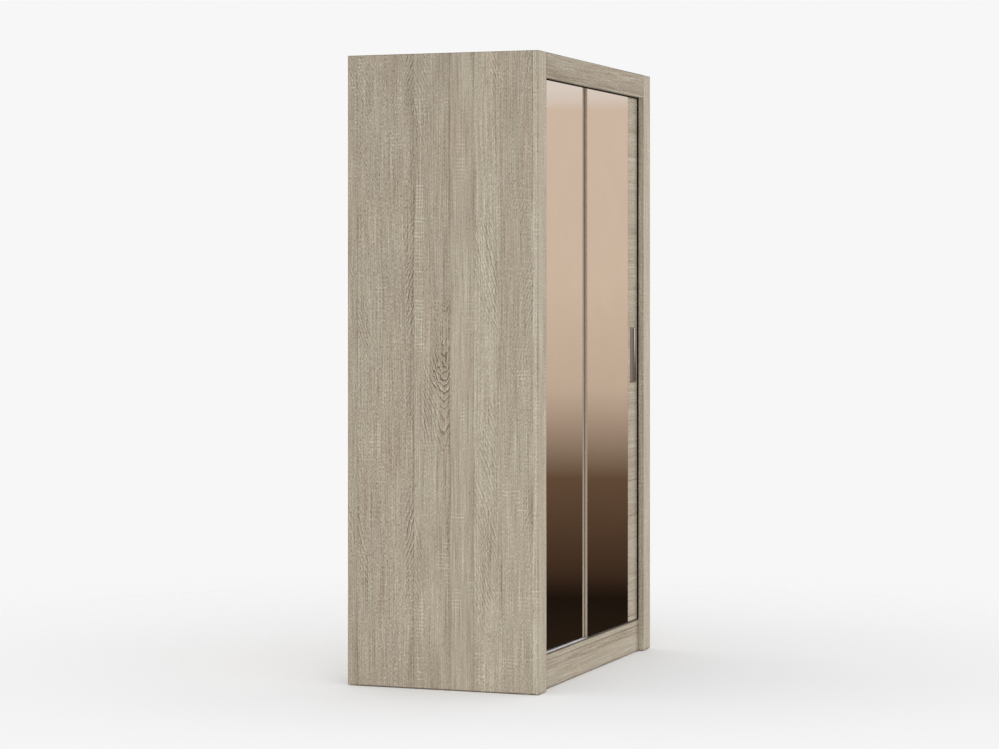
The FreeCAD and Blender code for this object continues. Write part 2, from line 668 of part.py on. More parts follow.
def write_tracks():
    x = (-INNER + TRACK_END_GAP, INNER - TRACK_END_GAP)
    front = RIGHT_DOOR_FACE - BOTTOM_TRACK_MARGIN
    rear = LEFT_DOOR_FACE + DOOR_THICKNESS + BOTTOM_TRACK_BEHIND
    base_z = (FLOOR_TOP, FLOOR_TOP + TRACK_BASE)
    raised = (FLOOR_TOP, RIB_TOP)
    pieces = [block(x, (front, front + LIP_WIDTH), raised), block(x, (rear - LIP_WIDTH, rear), raised)]
    for face in (RIGHT_DOOR_FACE, LEFT_DOOR_FACE):
        middle = wheel_plane(face)
        pieces.append(block(x, (middle - RIB_WIDTH / 2, middle + RIB_WIDTH / 2), raised))
    bottom = block(x, (front, rear), base_z).fuse(pieces).removeSplitter()
    screw_holes = [hole(SCREW_RADIUS, *line) for line in track_screw_lines()]
    export("bottom_track", drill(bottom, screw_holes))

    first = RIGHT_DOOR_FACE - TOP_TRACK_GAP - TOP_WALL
    second = LEFT_DOOR_FACE - TOP_TRACK_GAP - TOP_WALL
    third = LEFT_DOOR_FACE + DOOR_THICKNESS + TOP_TRACK_GAP
    hanging = (CEILING - TOP_WALL_HEIGHT, CEILING)
    walls = [block(x, (y, y + TOP_WALL), hanging) for y in (first, second, third)]
    roof = block(x, (first, third + TOP_WALL), (CEILING - TOP_TRACK_BASE, CEILING))
    export("top_track", drill(roof.fuse(walls).removeSplitter(), screw_holes))

    bumpers = []
    for side in (LEFT, RIGHT):
        for face in (RIGHT_DOOR_FACE, LEFT_DOOR_FACE):
            y = face + DOOR_THICKNESS / 2
            for z in BUMPER_Z:
                end = (side * (INNER - BUMPER_HEIGHT), y, z)
                bumpers.append(rod(BUMPER_RADIUS, (side * INNER, y, z), end))
    export("door_bumpers", bumpers)


# -------------------------------------------------------------------- doors

def door_x(side, from_free_edge):
    """X of a line at a distance from the door's free edge, at the wardrobe's middle."""
    return side * (from_free_edge - DOOR_OVERLAP / 2)


def door_span(side, start, end):
    return (door_x(side, start), door_x(side, end))


def carrier_centres():
    return (CARRIER_OFFSET, DOOR_WIDTH - CARRIER_OFFSET)


def carrier_screw_lines(side, face):
    lines = []
    y = wheel_plane(face)
    z = CARRIER_TOP - BRIDGE
    for centre in carrier_centres():
        for offset in (-CARRIER_SCREW_OFFSET, CARRIER_SCREW_OFFSET):
            x = door_x(side, centre + offset)
            lines.append(((x, y, z), (x, y, z + CARRIER_SCREW_LENGTH)))
    return lines


def door_panel(side, face):
    back = face + DOOR_THICKNESS
    height = (DOOR_BOTTOM, DOOR_TOP)
    panel = board(door_span(side, EDGE_STRIP, DOOR_WIDTH), (face, back), height, ease=0.4)
    rebate_y = (face - 1, face + MIRROR_THICKNESS)
    rebate = block(door_span(side, 0, MIRROR_ZONE), rebate_y, (0, HEIGHT))
    rim = PULL_RIM - PULL_POCKET_SLACK
    pocket_x = door_span(side, PULL_START + rim, PULL_END - rim)
    pocket_y = (face - 1, face + PULL_POCKET_DEPTH)
    pocket = block(pocket_x, pocket_y, (PULL_BOTTOM + rim, PULL_TOP - rim))
    tools = [rebate, pocket]
    for centre in carrier_centres():
        notch_x = door_span(side, centre - NOTCH_LENGTH / 2, centre + NOTCH_LENGTH / 2)
        notch_z = (0, DOOR_BOTTOM + NOTCH_HEIGHT)
        tools.append(block(notch_x, (back - NOTCH_DEPTH, back + 1), notch_z))
    tools += [hole(SCREW_RADIUS, *line) for line in carrier_screw_lines(side, face)]
    return panel.cut(tools)


def door_mirror(side, face):
    """A mirror plate whose front edges have a small polished arris."""
    x = door_span(side, EDGE_STRIP, MIRROR_ZONE - MIRROR_SHADOW_GAP)
    plate = block(x, (face, face + MIRROR_THICKNESS), (DOOR_BOTTOM, DOOR_TOP))
    front_edges = [edge for edge in plate.Edges if edge.BoundBox.YMax < face + 0.01]
    return plate.makeChamfer(0.8, front_edges)


def edge_strip(side, face):
    """The grooved profile on the door's free edge."""
    back = face + DOOR_THICKNESS
    middle = face + DOOR_THICKNESS / 2
    height = (DOOR_BOTTOM, DOOR_TOP)
    strip = board(door_span(side, 0, EDGE_STRIP), (face, back), height, ease=0.6)
    groove_y = (middle - EDGE_GROOVE_WIDTH / 2, middle + EDGE_GROOVE_WIDTH / 2)
    groove = block(door_span(side, -1, EDGE_GROOVE_DEPTH), groove_y, (0, HEIGHT))
    return strip.cut(groove)


def pull(side, face):
    """A flush cup pull: a thin flange, a body in the pocket and a trough for the fingers."""
    flange_x = door_span(side, PULL_START, PULL_END)
    flange = board(flange_x, (face - PULL_FLANGE, face), (PULL_BOTTOM, PULL_TOP), ease=0.3)
    body_x = door_span(side, PULL_START + PULL_RIM, PULL_END - PULL_RIM)
    body_y = (face - PULL_FLANGE / 2, face + PULL_BODY_DEPTH)
    body = block(body_x, body_y, (PULL_BOTTOM + PULL_RIM, PULL_TOP - PULL_RIM))
    half_width = (PULL_END - PULL_START) / 2 - TROUGH_MARGIN
    radius = (half_width**2 + TROUGH_DEPTH**2) / (2 * TROUGH_DEPTH)
    x = door_x(side, (PULL_START + PULL_END) / 2)
    y = face - PULL_FLANGE + TROUGH_DEPTH - radius
    trough = rod(radius, (x, y, PULL_BOTTOM + TROUGH_MARGIN), (x, y, PULL_TOP - TROUGH_MARGIN))
    return flange.fuse(body).removeSplitter().cut(trough)


def roller_carriers(side, face):
    """Steel housings in the notches: two cheeks joined by a bridge."""
    middle = wheel_plane(face)
    half = CARRIER_THICKNESS / 2
    screw_holes = [hole(SCREW_RADIUS, *line) for line in carrier_screw_lines(side, face)]
    carriers = []
    for centre in carrier_centres():
        x = door_span(side, centre - CARRIER_LENGTH / 2, centre + CARRIER_LENGTH / 2)
        bridge = block(x, (middle - half, middle + half), (CARRIER_TOP - BRIDGE, CARRIER_TOP))
        cheeks = []
        for way in (-1, 1):
            cheek_y = (middle + way * half, middle + way * (half - CHEEK))
            cheeks.append(block(x, cheek_y, (DOOR_BOTTOM + CHEEK_LIFT, CARRIER_TOP)))
        axle_x = door_x(side, centre)
        axle_ends = ((axle_x, middle - half, AXLE_Z), (axle_x, middle + half, AXLE_Z))
        axle_hole = hole(AXLE_RADIUS, *axle_ends, slack=AXLE_HOLE_SLACK)
        carrier = bridge.fuse(cheeks).removeSplitter().cut(axle_hole)
        carriers.append(drill(carrier, screw_holes))
    return carriers


def axles(side, face):
    middle = wheel_plane(face)
    half = CARRIER_THICKNESS / 2
    places = [door_x(side, centre) for centre in carrier_centres()]
    return [rod(AXLE_RADIUS, (x, middle - half, AXLE_Z), (x, middle + half, AXLE_Z)) for x in places]


def wheel(x, y):
    """A grooved wheel that straddles a rib of the bottom track."""
    half = WHEEL_WIDTH / 2
    groove = WHEEL_GROOVE / 2
    bore = AXLE_RADIUS + AXLE_CLEARANCE
    hub = WHEEL_TREAD_RADIUS - WHEEL_SHOULDER
    profile = [
        (bore, -half), (hub, -half), (WHEEL_RADIUS, -half + 0.4), (WHEEL_RADIUS, -groove - 0.3),
        (WHEEL_TREAD_RADIUS, -groove), (WHEEL_TREAD_RADIUS, groove),
        (WHEEL_RADIUS, groove + 0.3), (WHEEL_RADIUS, half - 0.4), (hub, half), (bore, half),
    ]
    points = [FreeCAD.Vector(x + radius, y + offset, AXLE_Z) for radius, offset in profile]
    face = Part.Face(Part.makePolygon(points + points[:1]))
    return face.revolve(FreeCAD.Vector(x, y, AXLE_Z), Y_AXIS, 360)


def top_gliders(side, face):
    """Plastic caps over the top edge that run between the walls of the top track."""
    back = face + DOOR_THICKNESS
    gliders = []
    for centre in carrier_centres():
        x = door_span(side, centre - GLIDER_LENGTH / 2, centre + GLIDER_LENGTH / 2)
        z = (DOOR_TOP - GLIDER_DROP, DOOR_TOP + GLIDER_CROWN)
        outside = board(x, (face - GLIDER_WALL, back + GLIDER_WALL), z, ease=0.3)
        gliders.append(outside.cut(block(x, (face, back), (0, DOOR_TOP))))
    return gliders


def write_doors():
    screw_sizes = (SCREW_RADIUS, CARRIER_SCREW_HEAD_RADIUS, CARRIER_SCREW_HEAD)
    for name, (side, face) in DOORS.items():
        export(name + "_panel", door_panel(side, face))
        export(name + "_mirror", door_mirror(side, face))
        export(name + "_edge_strip", edge_strip(side, face))
        export(name + "_pull", pull(side, face))
        export(name + "_roller_carriers", roller_carriers(side, face))
        screws = [screw(*line, *screw_sizes) for line in carrier_screw_lines(side, face)]
        export(name + "_carrier_screws", screws)
        export(name + "_axles", axles(side, face))
        export(name + "_top_gliders", top_gliders(side, face))
        for place, centre in zip(("inner", "outer"), carrier_centres()):
            export(name + "_" + place + "_wheel", wheel(door_x(side, centre), wheel_plane(face)))


def main():
    os.makedirs("parts", exist_ok=True)
    write_fasteners()
    write_carcass(carcass_drillings())
    write_dust_seals()
    write_back()
    write_shelves()
    write_rail()
    write_tip_brackets()
    write_tracks()
    write_doors()


main()
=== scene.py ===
"""Looks for the sliding door wardrobe: materials, bristle strips that add painted shade under the
doors, camera and studio light.

Everything is in metres in the part's own frame: X to the right, Y to the back and Z up.
"""
import json
import math

import bmesh
import bpy
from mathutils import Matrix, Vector


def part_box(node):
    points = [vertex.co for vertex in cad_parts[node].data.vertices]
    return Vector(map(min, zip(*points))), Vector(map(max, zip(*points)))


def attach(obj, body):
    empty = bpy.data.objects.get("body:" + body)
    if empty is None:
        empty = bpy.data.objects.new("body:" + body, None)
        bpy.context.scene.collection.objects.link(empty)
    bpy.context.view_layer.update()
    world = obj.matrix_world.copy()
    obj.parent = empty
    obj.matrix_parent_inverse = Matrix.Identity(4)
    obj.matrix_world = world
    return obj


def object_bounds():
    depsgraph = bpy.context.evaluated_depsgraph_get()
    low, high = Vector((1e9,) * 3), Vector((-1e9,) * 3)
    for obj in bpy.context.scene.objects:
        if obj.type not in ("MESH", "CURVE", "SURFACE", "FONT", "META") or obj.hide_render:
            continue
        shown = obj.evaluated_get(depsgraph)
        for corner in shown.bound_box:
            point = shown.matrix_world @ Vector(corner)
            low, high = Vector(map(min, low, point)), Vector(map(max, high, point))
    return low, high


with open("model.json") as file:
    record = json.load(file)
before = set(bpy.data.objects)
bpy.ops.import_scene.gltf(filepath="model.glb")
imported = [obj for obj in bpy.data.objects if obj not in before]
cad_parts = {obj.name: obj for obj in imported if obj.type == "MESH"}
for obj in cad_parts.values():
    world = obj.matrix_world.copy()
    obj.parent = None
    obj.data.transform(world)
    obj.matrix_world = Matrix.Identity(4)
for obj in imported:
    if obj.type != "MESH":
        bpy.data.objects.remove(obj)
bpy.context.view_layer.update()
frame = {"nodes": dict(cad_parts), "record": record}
low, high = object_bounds()

# ------------------------------------------------------------------ node kit


def linear(red, green, blue):
    """Scene-linear colour from an 8-bit display colour."""
    out = []
    for value in (red, green, blue):
        c = value / 255.0
        out.append(c / 12.92 if c <= 0.04045 else ((c + 0.055) / 1.055) ** 2.4)
    return (*out, 1.0)


class Net:
    """Short calls for building one node tree."""

    def __init__(self, tree):
        self.tree = tree
        tree.nodes.clear()

    def feed(self, socket, value):
        """Link a socket to another, or set its value."""
        if isinstance(value, bpy.types.NodeSocket):
            self.tree.links.new(value, socket)
        else:
            socket.default_value = value

    def node(self, kind, inputs=None, **settings):
        made = self.tree.nodes.new("ShaderNode" + kind)
        for key, value in settings.items():
            setattr(made, key, value)
        for key, value in (inputs or {}).items():
            self.feed(made.inputs[key], value)
        return made

    def math(self, operation, *values, clamp=False):
        inputs = dict(enumerate(values))
        return self.node("Math", inputs, operation=operation, use_clamp=clamp).outputs[0]

    def add(self, *values):
        total = values[0]
        for value in values[1:]:
            total = self.math("ADD", total, value)
        return total

    def mul(self, a, b):
        return self.math("MULTIPLY", a, b)

    def vector(self, x, y, z=0.0):
        return self.node("CombineXYZ", {"X": x, "Y": y, "Z": z}).outputs[0]

    def split(self, vector):
        return self.node("SeparateXYZ", {0: vector}).outputs

    def blend_vector(self, amount, span, start):
        """start + amount * span, on three numbers at once."""
        made = self.node("VectorMath", operation="MULTIPLY_ADD")
        self.feed(made.inputs[0], amount)
        self.feed(made.inputs[1], span)
        self.feed(made.inputs[2], start)
        return made.outputs[0]

    def noise(self, vector, scale=1.0, detail=2.0, roughness=0.5):
        values = {"Vector": vector, "Scale": scale, "Detail": detail, "Roughness": roughness}
        return self.node("TexNoise", values).outputs[0]

    def white(self, vector):
        return self.node("TexWhiteNoise", {"Vector": vector}).outputs[0]

    def smooth(self, value, start, end, to_start=0.0, to_end=1.0):
        """From one number to another while value runs from start to end, easing in and out."""
        values = {0: value, 1: start, 2: end, 3: to_start, 4: to_end}
        return self.node("MapRange", values, interpolation_type="SMOOTHSTEP").outputs[0]

    def near(self, distance, full, none):
        """1 up to one distance, and down to 0 at a longer one."""
        return self.smooth(distance, full, none, 1.0, 0.0)

    def ramp(self, value, stops):
        made = self.node("ValToRGB", {"Fac": value})
        elements = made.color_ramp.elements
        for place, _ in stops[2:]:
            elements.new(place)
        for element, (place, _) in zip(elements, stops):
            element.position = place
        for element, (_, colour) in zip(elements, stops):
            element.color = colour
        return made.outputs[0]

    def mix(self, amount, a, b, blend="MIX"):
        made = self.node("Mix", data_type="RGBA", blend_type=blend)
        self.feed(made.inputs[0], amount)
        self.feed(made.inputs[6], a)
        self.feed(made.inputs[7], b)
        return made.outputs[2]

    def bump(self, height, distance, strength):
        values = {"Height": height, "Distance": distance, "Strength": strength}
        return self.node("Bump", values).outputs[0]

    def wave(self, value):
        """A triangle wave, 0 at whole numbers of value and 1 halfway between them."""
        return self.math("PINGPONG", self.mul(value, 2.0), 1.0)


def surface(name, **values):
    """A material with one Principled shader whose constants are set on its own sockets."""
    material = bpy.data.materials.new(name)
    material.use_nodes = True
    net = Net(material.node_tree)
    shader = net.node("BsdfPrincipled", values)
    out = net.node("OutputMaterial")
    net.feed(out.inputs[0], shader.outputs[0])
    return material, net, shader


def place_of(net):
    """A point's place in the part's frame at rest, which stays with the piece as it moves."""
    return net.node("TexCoord").outputs["Object"]


# ---------------------------------------------------------------- oak print

# The print's colours from its darkest value to its lightest
OAK_TONES = (
    (0.0, linear(103, 90, 74)),
    (0.28, linear(138, 127, 110)),
    (0.5, linear(157, 146, 129)),
    (0.72, linear(173, 163, 146)),
    (1.0, linear(200, 193, 176)),
)
COOL_TINT = (0.995, 1.002, 1.001, 1.0)
WARM_TINT = (1.016, 0.991, 0.982, 1.0)
BANDING_TINT = (0.66, 0.58, 0.51, 1.0)

# Printed planks over one repeat: width, tone, amount of figure and of saw marks, places of the
# figure's heart and of the saw marks from the plank's start, amount of speckle, shift along
# the grain, and 1 for the plank with the knot
PLANKS = (
    (0.106, -0.01, 0.55, 0.30, 0.135, 0.014, 0.80, 0.00, 0.0),
    (0.091, 0.085, 1.00, 0.20, -0.046, 0.060, 0.70, 0.31, 0.0),
    (0.082, 0.03, 0.10, 0.95, 0.130, 0.048, 0.45, 0.12, 0.0),
    (0.124, -0.015, 1.00, 0.90, 0.020, 0.106, 0.65, -0.13, 1.0),
    (0.195, -0.02, 1.00, 0.45, 0.092, 0.120, 0.90, 0.22, 0.0),
    (0.072, 0.01, 0.80, 0.10, -0.040, 0.040, 0.75, 0.47, 0.0),
)
REPEAT = sum(plank[0] for plank in PLANKS)
PLANK_SEED = 40.0  # moves each plank's noise away from the others', by its start

# Places of the knot, its tail and the flames along the grain
KNOT_REPEAT = 1.51
KNOT_PLACE = 1.11
TAIL_DROP = 0.20
FLAME_REPEAT = KNOT_REPEAT / 2
FLAME_PLACE = 1.26

# Noise layers: rate across the grain, rate along it, detail and seed
DRIFT_GRAIN = (7.0, 1.6, 2.0, 3.0)
CLOUD_GRAIN = (9.0, 1.1, 2.0, 11.0)
STREAK_GRAIN = (75.0, 1.8, 3.0, 17.0)
LINE_GRAIN = (400.0, 4.5, 1.0, 19.0)
SHORT_GRAIN = (320.0, 34.0, 1.0, 23.0)
FINE_GRAIN = (480.0, 130.0, 1.0, 29.0)
HAIR_GRAIN = (340.0, 3.2, 1.0, 31.0)
PORE_GRAIN = (380.0, 26.0, 1.0, 37.0)
HEART_GRAIN = (0.0, 1.9, 1.0, 41.0)
BEND_GRAIN = (24.0, 11.0, 2.0, 43.0)
RIPPLE_GRAIN = (80.0, 34.0, 1.0, 44.0)
SWAY_GRAIN = (3.0, 3.6, 1.0, 45.0)
PATCH_GRAIN = (11.0, 2.7, 1.0, 47.0)
KNOT_GRAIN = (24.0, 11.0, 1.0, 49.0)
SLANT_GRAIN = (30.0, 12.0, 1.0, 53.0)
SPREAD_GRAIN = (9.0, 3.2, 1.0, 59.0)
STRAY_GRAIN = (16.0, 5.5, 1.0, 61.0)
WARMTH_GRAIN = (20.0, 2.4, 1.0, 67.0)
SHADE_GRAIN = (4.0, 2.4, 2.0, 71.0)
SEAM_GRAIN = (4.0, 3.1, 2.0, 73.0)

# Reaches: a feature is full up to the first distance and gone at the second
SEAM_REACH = (0.0006, 0.0018)
SHADE_REACH = (0.0015, 0.0075)
SIDE_REACH = (0.004, 0.034)
CORE_LENGTH = (0.10, 0.20)
CORE_WIDTH = (0.020, 0.050)
TAIL_LENGTH = (0.08, 0.20)
TAIL_WIDTH = (0.060, 0.090)
FLAME_LENGTH = (0.05, 0.16)
FLAME_WIDTH = (0.020, 0.042)
SAW_COLUMN = (0.010, 0.020)
EDGE_REACH = (0.0012, 0.0026)
CLEAR_OF_HEART = (0.046, 0.070)  # this one grows: no flames or patches nearer to a heart

# Growth rings and saw marks
RINGS_ACROSS = 90.0  # rings per metre across the grain, on the arms of a V
RINGS_ALONG = 32.0  # rings per metre along the grain
HEART_ROUNDING = 0.01  # how blunt the foot of a V is
BEND, SWAY, RIPPLE = 1.6, 5.0, 1.8  # how many rings the noise moves them by
CORE_FIGURE, FLANK_FIGURE, TAIL_FIGURE = 1.35, 1.5, 0.8  # how strongly they show
SAW_PITCH = 0.0115
SAW_SLANT = 0.8

# The print's mean value, and how much each layer adds to it or takes away
PRINT_MEAN = 0.505
CLOUDS, STREAKS, LINES, SHORT_LINES, FINE_LINES = 0.22, 0.17, 0.86, 0.30, 1.48
LIGHT_HAIRS, DARK_PORES = 0.13, -0.15
DARK_SEAMS, DARK_SHADE, DARK_SIDE = -0.12, -0.12, -0.075
DARK_RINGS, LIGHT_RINGS, DARK_CORE = -0.36, 0.24, -0.08
LIGHT_MARKS, DARK_WARMTH = 0.50, -0.04
FIBRE_DRIFT, HEART_DRIFT = 0.022, 0.03

HIDDEN_JOINT = 0.01  # how far past a board its edge line moves where that edge is hidden
PRINT_RELIEF = 0.00025


def oak_group():
    """The printed oak: grain runs along Along, and planks lie side by side over Across."""
    tree = bpy.data.node_groups.new("oak_print", "ShaderNodeTree")
    for name in ("Along", "Across", "Tone", "Figure"):
        tree.interface.new_socket(name, in_out="INPUT", socket_type="NodeSocketFloat")
    for name, kind in (("Color", "Color"), ("Relief", "Float"), ("Roughness", "Float")):
        tree.interface.new_socket(name, in_out="OUTPUT", socket_type="NodeSocket" + kind)
    net = Net(tree)
    given = tree.nodes.new("NodeGroupInput").outputs
    along, across = given["Along"], given["Across"]

    # which plank, and the plank's own numbers, three to a vector
    place = net.math("FLOORED_MODULO", across, REPEAT)
    start = 0.0
    seams = 0.0
    shades = 0.0
    for index, plank in enumerate(PLANKS):
        width, tone, figure, saw, heart, saw_place, speckle, shift, knot = plank
        places = (start + heart, start + saw_place, speckle)
        own = ((tone, figure, saw), places, (shift, start, knot))
        if index == 0:
            numbers = [net.vector(*triple) for triple in own]
        else:
            beyond = net.math("GREATER_THAN", place, start)
            spans = [[b - a for a, b in zip(*pair)] for pair in zip(before, own)]
            numbers = [net.blend_vector(beyond, tuple(s), n) for s, n in zip(spans, numbers)]
        gap = net.math("ABSOLUTE", net.math("SUBTRACT", place, start))
        seams = net.math("MAXIMUM", seams, net.near(gap, *SEAM_REACH))
        shades = net.math("MAXIMUM", shades, net.near(gap, *SHADE_REACH))
        before = own
        start += width
    tone, figure, saw = net.split(numbers[0])
    heart, saw_place, speckle = net.split(numbers[1])
    shift, plank_start, knot = net.split(numbers[2])
    z = net.add(along, shift)
    layer = net.mul(plank_start, PLANK_SEED)

    def grain(settings, source=across):
        across_rate, along_rate, detail, seed = settings
        depth = net.add(layer, seed)
        where = net.vector(net.mul(source, across_rate), net.mul(z, along_rate), depth)
        return net.noise(where, detail=detail)

    def centred(value, amount):
        return net.mul(net.math("SUBTRACT", value, 0.5), amount)

    def distance_along(centre, repeat):
        """Distance along the grain to the nearest of some repeated places."""
        wrapped = net.math("FLOORED_MODULO", net.add(along, repeat / 2 - centre), repeat)
        return net.math("ABSOLUTE", net.math("SUBTRACT", wrapped, repeat / 2))

    # fibres, which drift a little sideways
    fibre = net.add(across, centred(grain(DRIFT_GRAIN), FIBRE_DRIFT))
    cloud = centred(grain(CLOUD_GRAIN), CLOUDS)
    streak = centred(grain(STREAK_GRAIN, fibre), STREAKS)
    line = centred(grain(LINE_GRAIN, fibre), LINES)
    short = centred(grain(SHORT_GRAIN, fibre), SHORT_LINES)
    fine = centred(grain(FINE_GRAIN, fibre), FINE_LINES)
    # noise is mostly between 0.3 and 0.7, so a threshold above the middle picks out its peaks
    hairs = net.smooth(grain(HAIR_GRAIN, fibre), 0.60, 0.70)
    pores = net.smooth(grain(PORE_GRAIN, fibre), 0.62, 0.70)

    # where the figure shows: in the knot, in its tail below, in flames and in patches
    heart_drift = centred(grain(HEART_GRAIN), HEART_DRIFT)
    off_heart = net.add(net.math("SUBTRACT", place, heart), heart_drift)
    apart = net.math("ABSOLUTE", off_heart)
    past_seam = net.math("SUBTRACT", place, plank_start)
    from_knot = distance_along(KNOT_PLACE, KNOT_REPEAT)
    core = net.mul(net.near(from_knot, *CORE_LENGTH), net.near(apart, *CORE_WIDTH))
    core = net.mul(net.mul(core, knot), net.smooth(grain(KNOT_GRAIN), 0.34, 0.50, 0.10, 1.0))
    from_tail = distance_along(KNOT_PLACE - TAIL_DROP, KNOT_REPEAT)
    tail = net.mul(net.near(from_tail, *TAIL_LENGTH), net.near(apart, *TAIL_WIDTH))
    tail = net.mul(tail, knot)
    flames = net.near(distance_along(FLAME_PLACE, FLAME_REPEAT), *FLAME_LENGTH)
    flames = net.mul(flames, net.near(past_seam, *FLAME_WIDTH))
    patches = net.mul(net.smooth(grain(PATCH_GRAIN), 0.51, 0.63), 0.5)
    flank = net.mul(net.math("MAXIMUM", patches, flames), net.smooth(apart, *CLEAR_OF_HEART))
    amount = net.add(net.mul(core, CORE_FIGURE), net.mul(flank, FLANK_FIGURE))
    amount = net.add(amount, net.mul(tail, TAIL_FIGURE))
    amount = net.mul(net.mul(amount, figure), given["Figure"])

    # growth rings cut at a slant: V shapes that open upwards, rippled at the knot
    wander = net.add(centred(grain(BEND_GRAIN), BEND), centred(grain(SWAY_GRAIN), SWAY))
    ripple = centred(grain(RIPPLE_GRAIN), RIPPLE)
    wander = net.add(wander, net.mul(ripple, net.add(core, 0.2)))
    squared = net.mul(off_heart, off_heart)
    arms = net.math("SQRT", net.add(squared, HEART_ROUNDING ** 2))
    ring = net.add(net.mul(arms, RINGS_ACROSS), net.mul(z, -RINGS_ALONG), wander)
    ring_number = net.math("FLOOR", net.add(ring, 0.5))
    weight = net.add(0.35, net.white(net.vector(ring_number, layer)))
    amount = net.mul(amount, weight)
    rings_dark = net.mul(amount, net.smooth(net.wave(ring), 0.50, 1.0))
    rings_light = net.mul(amount, net.smooth(net.wave(net.add(ring, 0.25)), 0.70, 1.0))

    # light saw marks across the grain, in ladders
    ladder = net.add(net.math("DIVIDE", z, SAW_PITCH), centred(grain(SLANT_GRAIN), SAW_SLANT))
    rung = net.smooth(net.wave(ladder), 0.60, 0.95)
    strength = net.white(net.vector(net.math("FLOOR", ladder), layer))
    off_column = net.math("ABSOLUTE", net.math("SUBTRACT", place, saw_place))
    column = net.near(off_column, *SAW_COLUMN)
    spread = net.smooth(grain(SPREAD_GRAIN), 0.47, 0.57)
    stray = net.mul(net.smooth(grain(STRAY_GRAIN), 0.60, 0.68), 0.6)
    marks = net.math("MAXIMUM", net.mul(net.mul(column, spread), saw), stray)
    marks = net.mul(marks, net.mul(rung, strength))

    # seams between planks, shade beside them, and a darker side on each plank but the first
    later_plank = net.math("GREATER_THAN", plank_start, PLANKS[0][0] / 2)
    side = net.mul(net.near(past_seam, *SIDE_REACH), later_plank)
    shade = net.mul(shades, net.smooth(grain(SHADE_GRAIN), 0.44, 0.62))
    seams = net.mul(seams, net.smooth(grain(SEAM_GRAIN), 0.38, 0.60, 0.25, 1.0))
    warmth = net.smooth(grain(WARMTH_GRAIN), 0.47, 0.70)

    value = net.add(
        PRINT_MEAN, tone, given["Tone"], cloud, streak, line,
        net.mul(warmth, DARK_WARMTH), net.mul(side, DARK_SIDE),
        net.mul(short, speckle), net.mul(fine, speckle),
        net.mul(hairs, LIGHT_HAIRS), net.mul(pores, DARK_PORES),
        net.mul(seams, DARK_SEAMS), net.mul(shade, DARK_SHADE),
        net.mul(rings_dark, DARK_RINGS), net.mul(rings_light, LIGHT_RINGS),
        net.mul(core, DARK_CORE), net.mul(marks, LIGHT_MARKS),
    )
    colour = net.ramp(value, OAK_TONES)
    tint = net.mix(warmth, COOL_TINT, WARM_TINT)
    relief = net.add(
        net.mul(short, 0.5), fine, net.mul(pores, -0.8), net.mul(marks, 0.8), net.mul(seams, -1.0)
    )
    out = tree.nodes.new("NodeGroupOutput").inputs
    net.feed(out["Color"], net.mix(1.0, colour, tint, "MULTIPLY"))
    net.feed(out["Relief"], relief)
    net.feed(out["Roughness"], net.add(0.58, net.mul(pores, 0.12), net.mul(streak, -0.08)))
    return tree


OAK = oak_group()


def edge_line(net, axes, lowest, highest):
    """1 along the box's edges, where a board's edge banding meets its faces."""
    gaps = []
    for value, least, most in zip(axes, lowest, highest):
        off_centre = net.math("ABSOLUTE", net.math("SUBTRACT", value, (least + most) / 2))
        gaps.append(net.math("SUBTRACT", (most - least) / 2, off_centre))
    nearer = net.math("MINIMUM", gaps[0], gaps[1])
    further = net.math("MAXIMUM", gaps[0], gaps[1])
    middle = net.math("MAXIMUM", nearer, net.math("MINIMUM", further, gaps[2]))
    return net.near(middle, *EDGE_REACH)


def oak(node, grain_axis, shift_across, shift_along, tone, figure):
    """Laminate for one board, whose grain runs along one axis of the part's frame.

    Side panels and stiles hide the joint between them, and the fascia its lower edge.
    """
    material, net, shader = surface("oak_" + node)
    axes = list(net.split(place_of(net)))
    lowest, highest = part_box(node)
    if node.endswith("_side_panel"):
        lowest.y -= HIDDEN_JOINT
    if node.endswith("_stile"):
        highest.y += HIDDEN_JOINT
    if node == "top_fascia":
        lowest.z -= HIDDEN_JOINT
    edge = edge_line(net, axes, lowest, highest)
    along = axes.pop("XYZ".index(grain_axis))
    group = net.node("Group", node_tree=OAK)
    net.feed(group.inputs["Along"], net.add(along, shift_along))
    net.feed(group.inputs["Across"], net.add(axes[0], axes[1], shift_across))
    net.feed(group.inputs["Tone"], tone)
    net.feed(group.inputs["Figure"], figure)
    banding = net.mix(1.0, group.outputs["Color"], BANDING_TINT, "MULTIPLY")
    net.feed(shader.inputs["Base Color"], net.mix(edge, group.outputs["Color"], banding))
    net.feed(shader.inputs["Roughness"], group.outputs["Roughness"])
    net.feed(shader.inputs["Normal"], net.bump(group.outputs["Relief"], PRINT_RELIEF, 0.6))
    shader.inputs["Specular IOR Level"].default_value = 0.35
    return material


# ----------------------------------------------------------- other materials

GROOVE_HALF = 0.002
# TRACK_LIP: how deep the painted shade along the bottom track's front edge reaches
TRACK_LIP = 0.007
EVEN = (1.0, 1.0, 1.0)  # how a grain's rate differs between the three axes


